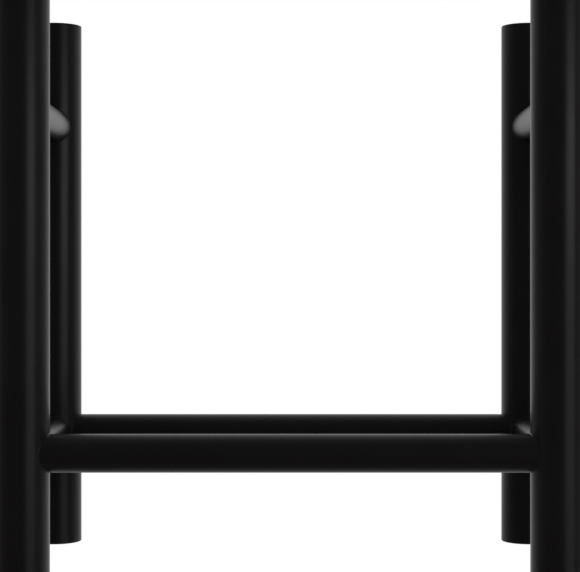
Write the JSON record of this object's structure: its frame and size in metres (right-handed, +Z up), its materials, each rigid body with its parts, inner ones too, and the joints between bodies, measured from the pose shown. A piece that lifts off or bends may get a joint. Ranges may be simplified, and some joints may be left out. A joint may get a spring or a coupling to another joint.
{
  "type": "towel warmer rack",
  "caption": "Wall-hung electric towel warmer in black round tube: a tall ladder in front of a short rear frame, with a control head under the right upright.",
  "frame": {"origin": "on the wall plane, midway between the four wall cups", "axes": "+Z up, +Y out of the back into the wall, +X to the right as seen from the room"},
  "size_m": [0.4064, 0.2294, 0.9942],
  "materials": {
    "powder_coat": "satin",
    "black_plastic": "satin",
    "white_plastic": "satin",
    "nickel": "satin",
    "black_steel": "satin",
    "stainless": "satin",
    "ceramic": "matte",
    "rubber": "matte",
    "board": "satin",
    "relay_blue": "satin",
    "red_lens": "gloss",
    "silicone": "matte"
  },
  "bodies": {
    "rack": {"upright_left": "powder_coat", "upright_right": "powder_coat", "rung_lower": "powder_coat", "rung_middle": "powder_coat", "rung_upper": "powder_coat", "end_bush_left": "powder_coat", "end_bush_right": "powder_coat", "upright_cap_left": "powder_coat", "upright_cap_right": "powder_coat", "rear_post_left": "powder_coat", "post_cap_upper_left": "powder_coat", "post_cap_lower_left": "powder_coat", "rear_post_right": "powder_coat", "post_cap_upper_right": "powder_coat", "post_cap_lower_right": "powder_coat", "rear_rung": "powder_coat", "spacer_upper_left": "powder_coat", "spacer_upper_right": "powder_coat", "spacer_lower_left": "powder_coat", "spacer_lower_right": "powder_coat", "wall_cup_upper_left": "powder_coat", "wall_cup_upper_right": "powder_coat", "wall_cup_lower_left": "powder_coat", "wall_cup_lower_right": "powder_coat", "bracket_stud_upper_left": "powder_coat", "bracket_stud_upper_right": "powder_coat", "bracket_stud_lower_left": "powder_coat", "bracket_stud_lower_right": "powder_coat", "control_housing": "black_plastic", "control_base": "black_plastic", "button_switch": "black_plastic", "potentiometer": "black_plastic", "cable_gland": "black_plastic", "gland_nut": "black_plastic", "index_mark": "white_plastic", "vent_body": "nickel", "blanking_plug": "nickel", "element_boss": "nickel", "grub_screw_upper_left": "black_steel", "grub_screw_upper_right": "black_steel", "grub_screw_lower_left": "black_steel", "grub_screw_lower_right": "black_steel", "element_sheath": "stainless", "sensor_pocket": "stainless", "retaining_clip": "stainless", "button_spring": "stainless", "element_core": "ceramic", "vent_seal": "rubber", "plug_seal": "rubber", "element_seal": "rubber", "control_board": "board", "relay": "relay_blue", "indicator_led": "red_lens", "indicator_lens": "red_lens", "element_lead": "silicone", "sensor_lead": "silicone"},
    "dial": {"thermostat_dial": "black_plastic", "dial_spindle": "stainless"},
    "button": {"power_button": "black_plastic"},
    "vent_screw": {"vent_screw": "nickel"}
  },
  "joints": [
    {"name": "dial_turn", "type": "hinge", "parent": "rack", "child": "dial", "pos_m": [0.1822, -0.2048, -0.63495], "axis": [0, 0, 1], "range_deg": [0, 270]},
    {"name": "button_press", "type": "slide", "parent": "rack", "child": "button", "axis": [0, 1, 0], "range_m": [0, 0.0012], "stiffness_N_per_m": 900, "deforming": ["button_spring"]},
    {"name": "vent_screw_turn", "type": "hinge", "parent": "rack", "child": "vent_screw", "pos_m": [-0.1822, -0.2048, 0.33395], "axis": [0, 0, 1], "range_deg": [0, 360]}
  ]
}
